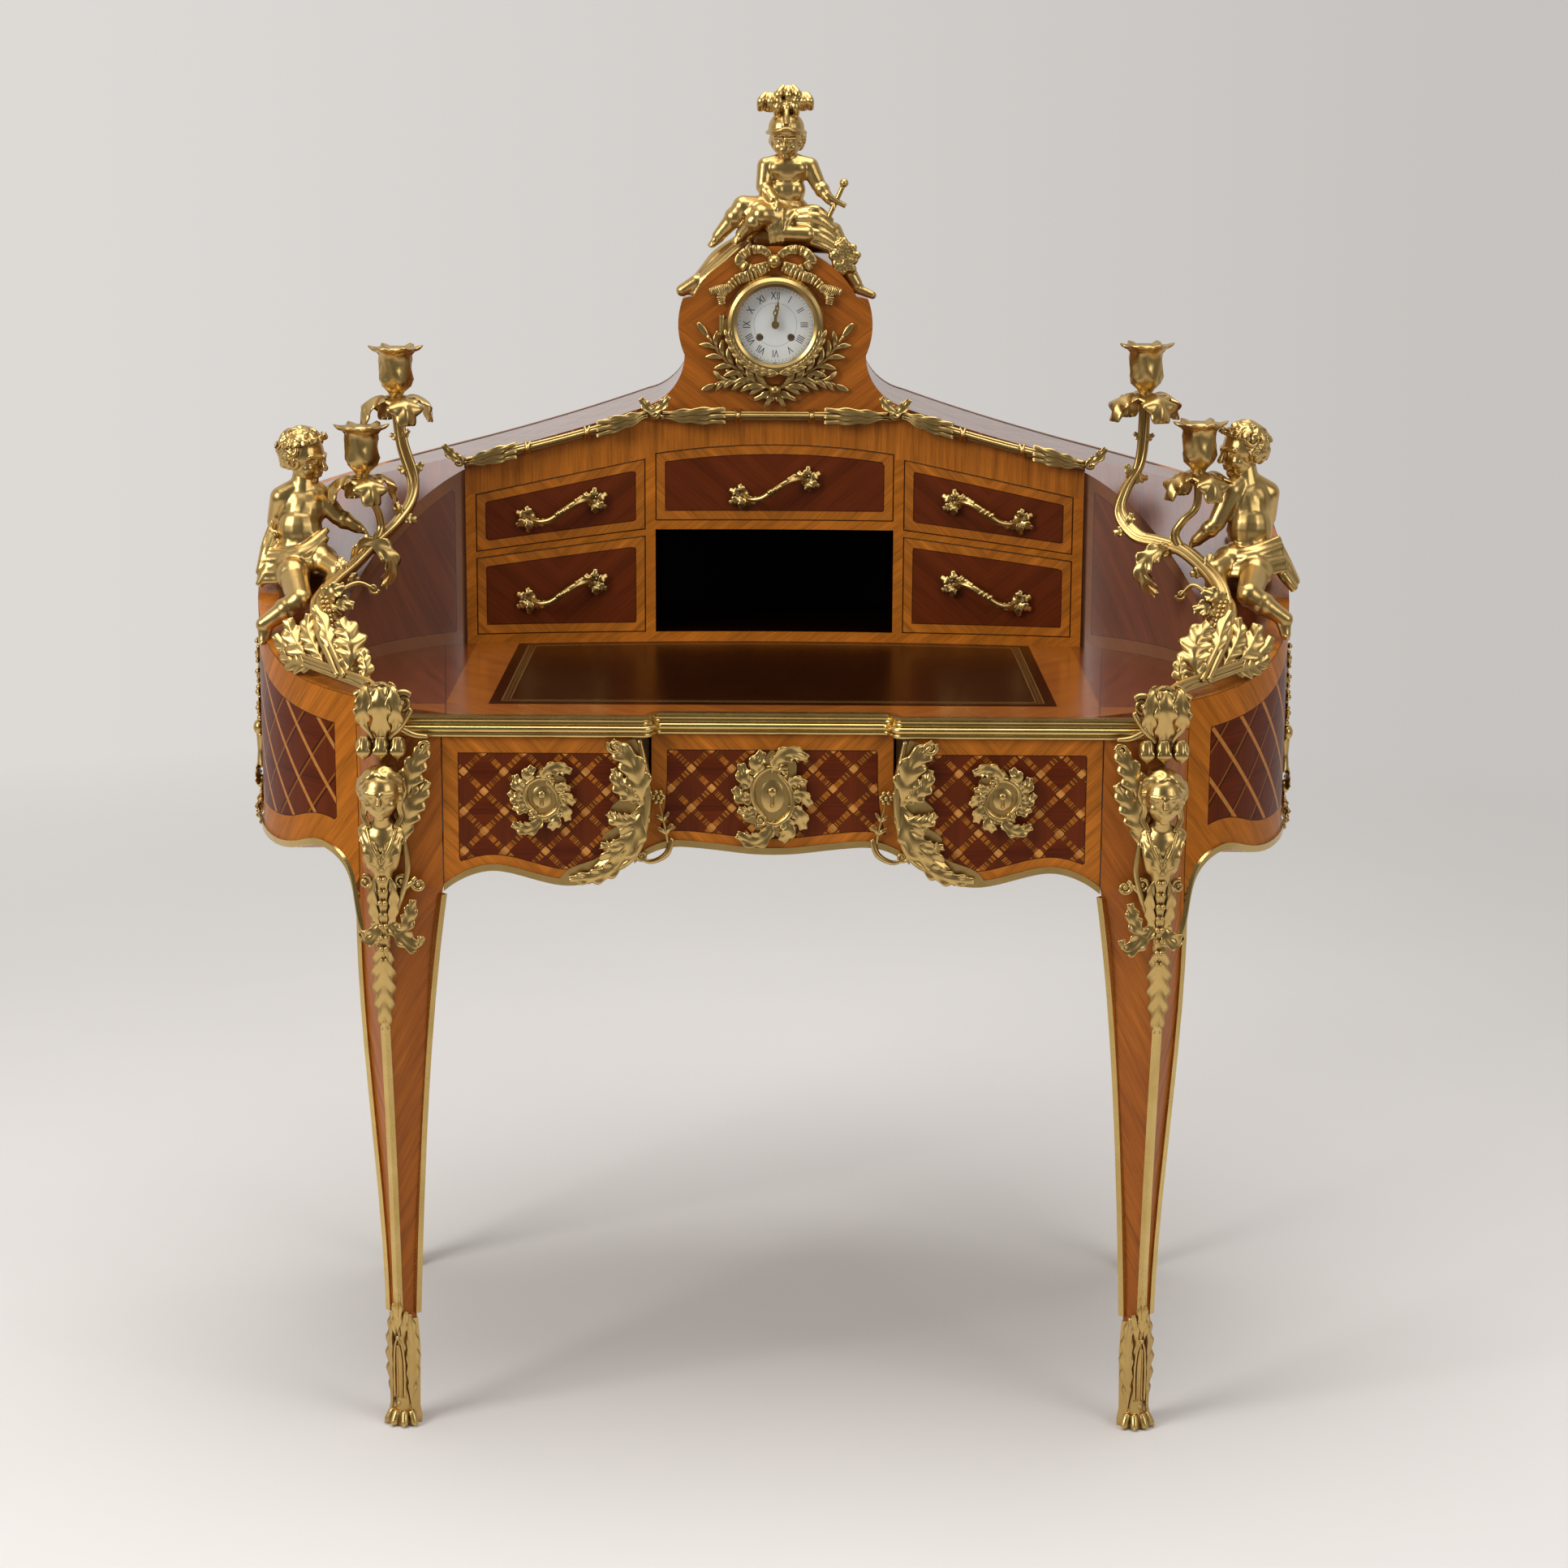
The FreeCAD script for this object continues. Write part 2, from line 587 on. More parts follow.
def top_shapes(legs):
    """Writing top with the leather's recess and the bolt mortises, the leather and the edge moulding."""
    slab = ellipse_prism(S.wall, UNDERSIDE, S.writing_height)
    edge = front_edge(14)
    corner = S.leg_x - 14
    plan = plan_prism(edge + [(corner, S.leg_y), (FAR, S.leg_y), (FAR, FAR), (-FAR, FAR), (-FAR, S.leg_y),
                              (-corner, S.leg_y)], UNDERSIDE, S.writing_height)
    slab = slab.common(plan)
    leather = leather_shape(S.writing_height - S.leather_depth, S.writing_height)
    slab = slab.cut(leather)
    for name, (x, face) in LOCKS.items():
        half = S.bolt_width / 2 + 1
        y = face + S.front_board + S.lock_depth / 2
        slab = slab.cut(block(x - half, x + half, y - S.bolt_depth / 2 - 1, y + S.bolt_depth / 2 + 1,
                              UNDERSIDE, UNDERSIDE + S.bolt_travel - 2))
    path = []
    last = None
    for item in edge:
        stretch = [at(x, y, UNDERSIDE) for x, y in (item if isinstance(item, list) else [item])]
        if last is not None and last.distanceToPoint(stretch[0]) > 1e-6:
            path.append(Part.LineSegment(last, stretch[0]).toShape())
        if len(stretch) == 3:
            path.append(Part.Arc(*stretch).toShape())
        last = stretch[-1]
    x, y = edge[0]
    reach, low, high = S.moulding_reach, -S.moulding_drop, S.top_thickness
    bead, hollow, lip = low + 5, low + 12, high - 2.5
    section = [(0, low), [(-0.55 * reach, low), (-0.85 * reach, low + 2.5), (-0.7 * reach, bead)],
               [(-0.7 * reach, bead), (-reach, low + 8.5), (-0.75 * reach, hollow)],
               [(-0.75 * reach, hollow), (-0.5 * reach, low + 15.8), (-0.8 * reach, lip)],
               (-0.8 * reach, high), (0, high)]

    def lift(item):
        return [lift(p) for p in item] if isinstance(item, list) else at(x, y + item[0], UNDERSIDE + item[1])
    profile = outline([lift(p) for p in section])
    moulding = Part.Wire(path).makePipeShell([profile], True, False, 2)
    return largest(slab), leather, cleared(moulding, [legs["front"], mirrored(legs["front"])])


# Frieze

def side_front_outline():
    """Outline of the left frieze drawer front: a waved lower edge running up into a bowed inner edge."""
    wide = S.side_outer - S.side_inner
    wave = [(0.9375, S.drawer_top_gap), (1.0, 51), (0.976, 90), (0.928, 116), (0.841, 139), (0.721, 153),
            (0.601, 156.5), (0.476, 152), (0.356, 145), (0.236, 141.4), (0.135, 146), (0.0, 163)]
    return [[(-S.side_outer + share * wide, below(drop)) for share, drop in wave],
            (-S.side_outer, below(S.drawer_top_gap))]


def middle_front_outline():
    """Outline of the middle frieze drawer front, with an ear at each lower corner."""
    edge = [(-3, S.drawer_top_gap), (-2.5, 51), (2, 90), (11, 115)]
    ear = [(11, 115), (14, 128), (15, 138)]
    left = [(-S.side_inner - out, below(drop)) for out, drop in edge]
    tip = [(-S.side_inner - out, below(drop)) for out, drop in ear]
    wave = [(1.12, 138), (1.0, 128), (0.84, 121), (0.62, 121), (0.4, 124), (0.2, 127), (0.0, 128)]
    low = [(-S.side_inner * share, below(drop)) for share, drop in wave]
    low = low + [(-x, z) for x, z in reversed(low[:-1])]
    low[0], low[-1] = tip[-1], (-tip[-1][0], tip[-1][1])
    right = [(-x, z) for x, z in reversed(left)]
    right_tip = [(-x, z) for x, z in reversed(tip)]
    return [left, tip, low, right_tip, right]


def drawer_boards(x0, x1, face, front):
    """Boards of a frieze drawer: its front, two sides, back and bottom."""
    y0 = face + S.front_board
    y1 = y0 + S.box_length
    z0 = below(S.box_drop)
    z1 = below(S.box_headroom)
    t = S.box_side
    floor = z0 + S.box_floor
    return [front, block(x0, x0 + t, y0, y1, z0, z1), block(x1 - t, x1, y0, y1, z0, z1),
            block(x0 + t, x1 - t, y1 - t, y1, z0, z1), block(x0 + t, x1 - t, y0, y1 - t, z0, floor)]


def lobed_plate(x, z, half, tall, y0, y1, lobes):
    """Cartouche plate with a lobed edge, pierced by a keyhole."""
    points = []
    count = 4 * lobes
    for index in range(count):
        angle = 2 * math.pi * index / count
        swell = 1 + 0.1 * math.cos(lobes * angle)
        points.append((x + half * swell * math.sin(angle), z + tall * swell * math.cos(angle)))
    plate = front_prism([points + points[:1]], y0, y1)
    hole = disc(2.6, y0 - 1, y1 + 1, x, z + 3).fuse(block(x - 1.3, x + 1.3, y0 - 1, y1 + 1, z - 8, z + 3))
    return largest(plate.cut(hole))


def lock_shapes(x, face):
    """Lock case behind a drawer front, and its sliding bolt."""
    y0 = face + S.front_board
    mid = y0 + S.lock_depth / 2
    top = below(S.box_headroom - 2)
    case = block(x - S.lock_width / 2, x + S.lock_width / 2, y0, y0 + S.lock_depth, top - S.lock_height, top)
    gap = S.running_gap
    half, deep = S.bolt_width / 2, S.bolt_depth / 2
    foot = below(S.drawer_top_gap + 4) - S.bolt_length
    channel = block(x - half - gap, x + half + gap, mid - deep - gap, mid + deep + gap, foot - gap, top + 1)
    bolt = block(x - half, x + half, mid - deep, mid + deep, foot, foot + S.bolt_length)
    return largest(case.cut(channel)), bolt


LOCKS = {"left": (-(S.side_outer + S.side_inner) / 2, S.front_face),
         "middle": (0.0, S.front_face + S.step_depth),
         "right": ((S.side_outer + S.side_inner) / 2, S.front_face)}


def make_frieze(leg):
    """Three frieze drawers with their fittings, and the partitions and runners that carry them."""
    front_y = S.front_face
    middle_y = S.front_face + S.step_depth
    side_front = front_prism(side_front_outline(), front_y, front_y + S.front_board)
    middle_front = front_prism(middle_front_outline(), middle_y, middle_y + S.front_board)
    half_gap = S.partition / 2
    rail = S.side_inner + half_gap
    inner = rail + half_gap + 1
    outer = S.side_outer - 7
    raised = Vec(0, 0, S.strip_height)
    deep = S.strip_depth
    strip_plate = front_prism(side_front_outline(), front_y - deep, front_y)
    side_strip = largest(strip_plate.cut(strip_plate.translated(raised)))
    middle_plate = front_prism(middle_front_outline(), middle_y - deep, middle_y)
    middle_strip = largest(middle_plate.cut(middle_plate.translated(raised)))
    side_strip = fused([side_strip, edge_leaf(front_y, strip_plate)])
    for name, (x, face) in LOCKS.items():
        case, bolt = lock_shapes(x, face)
        if name == "middle":
            boards = drawer_boards(-S.side_inner + 5, S.side_inner - 5, face, middle_front)
            plate = lobed_plate(x, below(66), S.middle_escutcheon_half, 1.35 * S.middle_escutcheon_half,
                                face - S.mount_depth, face, 9)
            strips = middle_strip
        else:
            left = drawer_boards(-outer, -inner, face, side_front)
            boards = left if name == "left" else [mirrored(board) for board in left]
            plate = lobed_plate(x, below(64), S.escutcheon_half, 1.2 * S.escutcheon_half,
                                face - S.mount_depth, face, 7)
            strips = side_strip if name == "left" else mirrored(side_strip)
        node(f"frieze_drawer_{name}", boards)
        node(f"frieze_fittings_{name}", [plate, strips, case])
        node(f"lock_bolt_{name}", bolt)
    make_runners(rail, inner, outer, leg)


def edge_leaf(face, limit):
    """Acanthus along the bowed inner edge of the left drawer, with scalloped lobes."""
    x = -S.side_inner
    points = [(x - 13, below(S.drawer_top_gap + 1)), (x - 30, below(22)), (x - 22, below(34)),
              (x - 36, below(48)), (x - 25, below(60)), (x - 38, below(78)), (x - 29, below(90)),
              (x - 46, below(106)), (x - 45, below(118)), (x - 78, below(138)), (x - 90, below(151))]
    edge = [(x - 64, below(170)), (x + 40, below(170)), (x + 40, below(S.drawer_top_gap + 1))]
    leaf = front_prism([points] + edge, face - 1.6 * S.mount_depth, face)
    grown = limit.fuse(limit.translated(Vec(0, -S.mount_depth, 0)))
    return largest(leaf.common(grown))


def make_runners(rail, inner, outer, leg):
    """Partitions between the frieze drawers, and the runners and cross rails under them."""
    start = S.front_face + S.step_depth + S.front_board + 2
    z0 = below(S.box_drop) - S.running_gap - S.runner_height
    walls = []
    for name, side in SIDES.items():
        wall = bound("Part::Box", f"partition_{name}",
                     Length="sizes.partition - 2 * sizes.running_gap",
                     Width="sizes.box_length",
                     Height="sizes.box_drop + sizes.running_gap + sizes.runner_height",
                     Placement__Base__x=f"{side} * (sizes.side_inner + sizes.partition / 2)"
                                        " - sizes.partition / 2 + sizes.running_gap",
                     Placement__Base__y="sizes.front_y + sizes.front_face + sizes.step_depth"
                                        " + sizes.front_board + 2",
                     Placement__Base__z="sizes.writing_height - sizes.top_thickness - sizes.box_drop"
                                        " - sizes.running_gap - sizes.runner_height")
        walls.append(wall)
    group("frieze_partitions", walls)
    end = start + S.box_length
    half = S.runner_width / 2
    z1 = z0 + S.runner_height
    inside = ellipse_prism(S.wall, z0 - S.runner_height, z1)
    front_rail = block(-S.leg_x, S.leg_x, start, start + S.runner_width, z0 - S.runner_height, z0)
    front_rail = front_rail.cut(leg).cut(mirrored(leg))
    rear_rail = block(-FAR, FAR, end - S.runner_width, end, z0 - S.runner_height, z0).common(inside)
    bars = [largest(front_rail), largest(rear_rail)]
    gap = S.partition / 2 - S.running_gap
    for side in SIDES.values():
        for x0, x1 in ((outer - S.runner_width, outer), (inner - 1, inner - 1 + S.runner_width),
                       (rail - gap - half, rail - gap)):
            low, high = sorted((side * x0, side * x1))
            bars.append(block(low, high, start, end, z0, z1))
    node("drawer_runners", bars)


# Arms and gallery

def arm_shape():
    """Left arm: a thick bay wall that sweeps up from the front corner into the gallery's end."""
    z0, z1 = S.writing_height, above(S.shoulder_rise)
    body = ellipse_prism(S.wall, z0, z1).common(block(-FAR, -S.gallery_half, S.leg_y + 8, FAR, z0, z1))
    bay = Part.makeCylinder(S.lobe_radius, z1 - z0, at(-S.lobe_x, S.lobe_y, z0))
    return largest(body.cut(bay).common(under_swoop()).common(under_hood(0, -FAR, FAR)))


def compartments():
    """Left gallery compartments: outer and inner x, then floor and top, each outer and inner."""
    outer = S.gallery_half - S.gallery_board
    inner = S.niche_half + S.gallery_board
    low, high = S.shelf_outer, S.shelf_inner
    thick = S.shelf_thickness
    return {"lower": (outer, inner, S.base_board, S.base_board, low, high),
            "upper": (outer, inner, low + thick, high + thick, S.drawer_line_outer, S.drawer_line_inner)}


def quad(x0, x1, low0, low1, top0, top1):
    """Corners of a compartment's cross section from its outer to its inner end, on the left."""
    return [(-x0, above(low0)), (-x1, above(low1)), (-x1, above(top1)), (-x0, above(top0))]


def middle_section(gap, lower, top):
    """Cross section of the middle drawer with its arched top."""
    half = S.niche_half - gap
    arch = [(half, above(top)), (0, above(top + S.middle_crown)), (-half, above(top))]
    return [(-half, above(lower)), (half, above(lower)), arch]


def gallery_front_face(section):
    """Front board of the hollow gallery front, from its cross section."""
    y0, y1 = gallery_y(S.gallery_half) - 20, S.gallery_middle + S.gallery_front + 20
    plate = front_prism(section, y0, y1)
    z0 = S.writing_height
    return largest(plate.common(gallery_drum(S.gallery_front, z0, FULL_HEIGHT)).cut(
        gallery_drum(0, z0 - 1, FULL_HEIGHT)))


def gallery_boards(front_panel):
    """Base, end boards, dividers and shelves of the gallery."""
    z0 = S.writing_height
    y0 = gallery_y(S.gallery_half) - 5
    room = ellipse_prism(S.wall, z0, FULL_HEIGHT).cut(gallery_drum(0, z0 - 1, FULL_HEIGHT))
    room = room.common(under_hood(S.hood_board, y0, FAR))
    half, board = S.gallery_half, S.gallery_board
    base = block(-half, half, y0, FAR, z0, above(S.base_board))
    boards = [largest(base.common(room))]
    for side in SIDES.values():
        for x0, x1 in ((half - board, half), (S.niche_half, S.niche_half + board)):
            low, high = sorted((side * x0, side * x1))
            upright = block(low, high, y0, FAR, above(S.base_board), FULL_HEIGHT)
            boards.append(largest(upright.common(room).cut(front_panel).cut(clock_room(y0))))
    shelf = front_prism(quad(half - board, S.niche_half + board, S.shelf_outer, S.shelf_inner,
                             S.shelf_outer + S.shelf_thickness, S.shelf_inner + S.shelf_thickness), y0, FAR)
    left = largest(shelf.common(room))
    middle = block(-S.niche_half, S.niche_half, y0, FAR, above(S.niche_rise),
                   above(S.niche_rise + S.base_board))
    return boards + [left, mirrored(left), largest(middle.common(room))]


def front_panel_shape():
    """Board above the gallery drawers, cut to their tops and to the hood."""
    y0 = gallery_y(S.gallery_half) - 20
    outer, inner = S.gallery_half - S.gallery_board, S.niche_half + S.gallery_board
    arch = [(S.niche_half, above(S.middle_line)), (0, above(S.middle_line + S.middle_crown)),
            (-S.niche_half, above(S.middle_line))]
    low = [(-S.gallery_half, above(S.drawer_line_outer)), (-S.gallery_half, above(S.dome_rise)),
           (S.gallery_half, above(S.dome_rise)), (S.gallery_half, above(S.drawer_line_outer)),
           (outer, above(S.drawer_line_outer)), (inner, above(S.drawer_line_inner)),
           (S.niche_half, above(S.drawer_line_inner)), arch, (-S.niche_half, above(S.drawer_line_inner)),
           (-inner, above(S.drawer_line_inner)), (-outer, above(S.drawer_line_outer))]
    board = gallery_front_face(low)
    lid = block(-FAR, FAR, y0, FAR, above(S.panel_rise), FULL_HEIGHT)
    return largest(board.common(under_hood(S.hood_board, y0, FAR)).cut(lid))


def hood_shape():
    """Ogee hood over the gallery, running up behind the clock's front and back to the back wall."""
    y0 = gallery_y(S.gallery_half) - S.hood_lip - 10
    shell = under_hood(0, y0, FAR).cut(under_hood(S.hood_board, y0 - 1, FAR + 1))
    room = block(-S.gallery_half, S.gallery_half, y0, FAR, above(S.shoulder_rise - S.hood_board - 1),
                 FULL_HEIGHT)
    room = room.common(ellipse_prism(S.wall, S.writing_height, FULL_HEIGHT))
    return largest(shell.common(room).cut(gallery_drum(-S.hood_lip, 0, FULL_HEIGHT)).cut(clock_room(y0)))


def clock_room(y0):
    """The room that the clock's front board takes up over the gallery, from a depth to its back."""
    y1 = S.clock_front_y + S.clock_board
    return block(-S.cornice_x, S.cornice_x, y0, y1, above(S.panel_rise), FULL_HEIGHT)


def clock_board_shape(hood):
    """Front board of the clock: it covers the hood's end and is pierced for the movement."""
    y0, y1 = S.clock_front_y, S.clock_front_y + S.clock_board
    board = under_hood(0, y0, y1).common(clock_room(y0))
    return cleared(board, [hood, disc(S.drum_radius + 1, y0 - 1, y1 + 1)])


def small_drawer(section, floor_section, x0, x1, tops):
    """Boards of a gallery drawer: its hollow front, two sides, back and sloping bottom, on the left."""
    front = gallery_front_face(section)
    y0 = gallery_y(max(abs(x0), abs(x1))) + S.gallery_front - 15
    y1 = min(S.gallery_middle + S.small_box_length, plan_y(max(abs(x0), abs(x1)), S.wall) - S.back_gap)
    solid_front = gallery_drum(S.gallery_front, 0, FULL_HEIGHT)
    t = S.small_board
    (low0, low1), (top0, top1) = floor_section, tops

    def floor_at(x):
        return low0 + (low1 - low0) * (x - x0) / (x1 - x0)

    def top_at(x):
        return top0 + (top1 - top0) * (x - x0) / (x1 - x0)

    def board(xa, xb, ya, yb, lift_a, lift_b, full):
        roof = top_at if full else (lambda x: floor_at(x) + t)
        corners = [(xa, above(floor_at(xa) + lift_a)), (xb, above(floor_at(xb) + lift_b)),
                   (xb, above(roof(xb))), (xa, above(roof(xa)))]
        return largest(front_prism(corners, ya, yb).cut(solid_front))
    return [front, board(x0, x0 + t, y0, y1, 0, 0, True), board(x1 - t, x1, y0, y1, 0, 0, True),
            board(x0 + t, x1 - t, y1 - t, y1, 0, 0, True), board(x0 + t, x1 - t, y0, y1 - t, 0, 0, False)]


def handle_shape(x, z, tilt, front):
    """Cast bow handle with a leaf at each foot, seated on a drawer front."""
    half = S.handle_span / 2
    out = S.handle_reach
    rise = tilt * 0.14 * S.handle_span

    def point(share, reach, lift):
        px = x + share * half
        return at(px, gallery_y(px) - reach, z + lift)
    bow = tube([point(-1, -1, rise), point(-0.96, 0.6 * out, rise), point(-0.62, out, rise - 7),
                point(0, out + 1, -10), point(0.62, out, -rise - 7), point(0.96, 0.6 * out, -rise),
                point(1, -1, -rise)],
               [S.handle_radius * k for k in (1.5, 1.1, 1, 1.35, 1, 1.1, 1.5)])
    leaves = []
    for share, lift in ((-1, rise), (1, -rise)):
        foot = point(share, 1, lift)
        leaves.append(limb(foot, 7, foot + Vec(share * 11, 0, 5 * (1 if lift >= 0 else -1)), 4))
    return cleared(fused([bow] + leaves), [front])


def make_gallery():
    """Gallery boards, front panel, hood, five drawers with their handles and the cornice strips."""
    panel = front_panel_shape()
    hood = hood_shape()
    node("gallery_boards", gallery_boards(panel))
    node("gallery_front_panel", panel)
    node("gallery_hood", hood)
    board = clock_board_shape(hood)
    node("clock_front", board)
    gap = S.front_gap
    inset = S.running_gap + 0.5
    for level, (outer, inner, low0, low1, top0, top1) in compartments().items():
        section = quad(outer - gap, inner + gap, low0 + gap, low1 + gap, top0 - gap, top1 - gap)
        box_floor = (low0 + S.running_gap, low1 + S.running_gap)
        tops = (top0 - 10, top1 - 10)
        left = small_drawer(section, box_floor, -outer + inset, -inner - inset, tops)
        mid_x = -(outer + inner) / 2
        mid_z = above((low0 + low1 + top0 + top1) / 4)
        left_handle = handle_shape(mid_x, mid_z, -1, left[0])
        node(f"gallery_drawer_{level}_left", left)
        node(f"gallery_drawer_{level}_right", [mirrored(board) for board in left])
        node(f"gallery_handle_{level}_left", left_handle)
        node(f"gallery_handle_{level}_right", mirrored(left_handle))
    low = S.niche_rise + S.base_board
    section = middle_section(gap, low + gap, S.middle_line - gap)
    half = S.niche_half - inset
    middle = small_drawer(section, (low + S.running_gap, low + S.running_gap), -half, half,
                          (S.middle_line - 12, S.middle_line - 12))
    node("gallery_drawer_middle", middle)
    node("gallery_handle_middle", handle_shape(0, above((low + S.middle_line) / 2 + 2), 0, middle[0]))
    node("cornice_mounts", cornice_shapes(hood, board))


def cornice_shapes(hood, board):
    """Gilt strips along the hood's front lip: a rising one on each side and a level one in the middle."""
    radius = 5.0

    def lip(x, z):
        return at(x, gallery_y(x) - S.hood_lip - 0.4 * radius, z)
    rise = S.cornice_rise - S.shoulder_rise
    span = S.gallery_half - S.cornice_x
    points = []
    for share in (0, 0.25, 0.5, 0.75, 1):
        sag = 3 * (1 - (2 * share - 1) ** 2)
        level = S.shoulder_rise + share * rise - sag - radius
        points.append(lip(-S.gallery_half + share * (span + 12), above(level)))
    left = tube(points, [radius * k for k in (1.3, 1, 1, 1, 1.3)])
    edge = S.cornice_x - 20
    middle = tube([lip(x * edge, above(S.cornice_rise - 8)) for x in (-1, -0.5, 0, 0.5, 1)],
                  [radius * k for k in (1.3, 1, 1, 1, 1.3)])
    block_ends = [block(-edge - 1.3 * radius, edge + 1.3 * radius, 0, FAR, 0, FULL_HEIGHT)]
    left = cleared(left, [hood] + block_ends)
    return [left, cleared(middle, [hood, board]), mirrored(left)]


# Clock

def lug_levels():
    """Undersides of the two lugs of a clock hinge."""
    z = above(S.dial_rise)
    return [z - S.hinge_height / 2, z + S.hinge_height / 2 - S.hinge_lug]


def hinge_shapes(x, y, inner_x):
    """Upright pin with its two lugs, and the knuckle that turns on it, beside the dial's middle height."""
    z = above(S.dial_rise)
    radius = S.hinge_knuckle
    tall = S.hinge_height
    fixed = [Part.makeCylinder(S.hinge_pin, tall, at(x, y, z - tall / 2))]
    for low in lug_levels():
        fixed.append(Part.makeCylinder(radius, S.hinge_lug, at(x, y, low)))
    long = tall - 2 * S.hinge_lug - 1
    knuckle = Part.makeCylinder(radius, long, at(x, y, z - long / 2))
    thick = 0.45 * radius
    arm = block(min(x, inner_x), max(x, inner_x), y - thick, y + thick, z - long / 2, z + long / 2)
    bore = Part.makeCylinder(S.hinge_pin + S.pin_fit, tall, at(x, y, z - tall / 2))
    return fixed, knuckle.fuse(arm).cut(bore)


def bezel_profile():
    """Cast section of the bezel as (radius, forward) points: a bold round with a hollow inside."""
    deep = S.bezel_depth
    outer, inner = S.bezel_outer, S.bezel_inner
    width = outer - inner
    return [(inner, 0), (outer, 0), (outer, 0.35 * deep), (inner + 0.78 * width, 0.85 * deep),
            (inner + 0.5 * width, deep), (inner + 0.25 * width, 0.97 * deep), (inner, 0.86 * deep)]


def facing_ring(profile, y):
    """Ring about the dial's middle from (radius, forward) points, standing forward of y."""
    points = [Vec(radius, -forward, 0) for radius, forward in profile]
    ring = sheet_of(points).revolve(Vec(0, 0, 0), Vec(0, 1, 0), 360)
    ring.translate(at(0, y, above(S.dial_rise)))
    return ring


def make_clock(back):
    """Movement, dial, bezel, glass, hands, winding arbors, pendulum and back door."""
    mid = above(S.dial_rise)
    face = S.clock_front_y
    flange = face - S.flange_depth
    bezel_y = flange - S.running_gap
    back_y = face + S.drum_length
    pin_x = -S.bezel_outer - S.hinge_knuckle - 1
    pin_y = bezel_y - 0.35 * S.bezel_depth
    fixed, knuckle = hinge_shapes(pin_x, pin_y, -S.bezel_outer + 3)
    lugs = []
    for low in lug_levels():
        high = low + S.hinge_lug
        lugs.append(block(pin_x, -S.flange_radius + 6, flange, face, low, high))
        lugs.append(block(pin_x - 2, pin_x + 2, pin_y, face, low, high))
    outside = plan_y(0)
    door_y = outside + 5
    door_pin_x = -S.door_radius - S.hinge_knuckle - 1
    door_pin_y = door_y + S.door_thickness / 2
    door_fixed, door_knuckle = hinge_shapes(door_pin_x, door_pin_y, -S.door_radius + 3)
    for low in lug_levels():
        high = low + S.hinge_lug
        lugs.append(block(door_pin_x - 2, door_pin_x + 2, outside - 4, door_pin_y, low, high))
        lugs.append(block(door_pin_x, -S.flange_radius, outside - 4, door_y - 1, low, high))
    ring = disc(S.door_radius + 1, outside - 6, door_y - S.running_gap).cut(
        disc(S.drum_radius, outside - 7, door_y))
    strap_x = S.drum_radius - 1
    straps = [block(side * strap_x - 3, side * strap_x + 3, back_y - 30, outside - 1, mid - 5, mid + 5)
              for side in SIDES.values()]
    post = block(-4, 4, back_y - 2, back_y + 12, mid + 26, mid + 34)
    pin_z = mid + 30
    suspension = disc(1.0, back_y + 10, back_y + 20, 0, pin_z)
    head = disc(2.2, back_y + 19, back_y + 21, 0, pin_z)
    drum = disc(S.drum_radius, face, back_y)
    collar = disc(S.flange_radius, flange, face)
    dial_seat = flange + 1
    recess = disc(S.dial_radius + 0.3, flange - 1, dial_seat + S.dial_depth)
    body = fused([drum, collar]).cut(recess)
    hand_y = flange - 0.5 * S.bezel_depth
    hour_pipe = disc(S.hour_arbor, hand_y + 3.6, dial_seat + S.dial_depth + 2)
    minute_pipe = disc(S.minute_arbor, hand_y - 1, dial_seat + S.dial_depth + 2)
    body = fused([body, hour_pipe, minute_pipe, post, suspension, head] + straps + [ring] + lugs
                 + fixed + door_fixed)
    body = cleared(body, [back])
    for name, side in SIDES.items():
        x, z = side * S.winding_x, mid - S.winding_drop
        seat = dial_seat + S.dial_depth
        shaft = disc(S.winding_radius, seat - 1, seat + 22, x, z)
        half = 0.62 * S.winding_radius
        square = block(x - half, x + half, flange + 0.6, seat, z - half, z + half)
        body = body.cut(disc(S.winding_radius + S.pin_fit, seat - 1, seat + 22.3, x, z))
        node(f"winding_arbor_{name}", fused([shaft, square]))
    node("clock_movement", largest(body))
    make_dial(dial_seat)
    node("clock_bezel", bezel_shape(bezel_y, knuckle))
    glass = bound("Part::Cylinder", "bezel_glass", Radius="sizes.bezel_inner + 1.5",
                  Height="sizes.glass_thickness")
    glass.setExpression("Placement.Base.y", "sizes.front_y + sizes.clock_front_y - sizes.flange_depth"
                        " - sizes.running_gap - 0.75 * sizes.bezel_depth")
    glass.setExpression("Placement.Base.z", "sizes.writing_height + sizes.dial_rise")
    glass.Placement.Rotation = FreeCAD.Rotation(Vec(1, 0, 0), -90)
    glass.Label = "bezel_glass"
    NODES.append(glass)
    node("hour_hand", hand_shape(S.hour_length, S.hour_arbor, hand_y + 4, 6.5, S.minute_rest / 12))
    node("minute_hand", hand_shape(S.minute_length, S.minute_arbor, hand_y, 4.5, S.minute_rest))
    node("clock_back_door", back_door_shape(door_y, door_knuckle))
    node("pendulum", pendulum_shape(back_y + 13, pin_z))


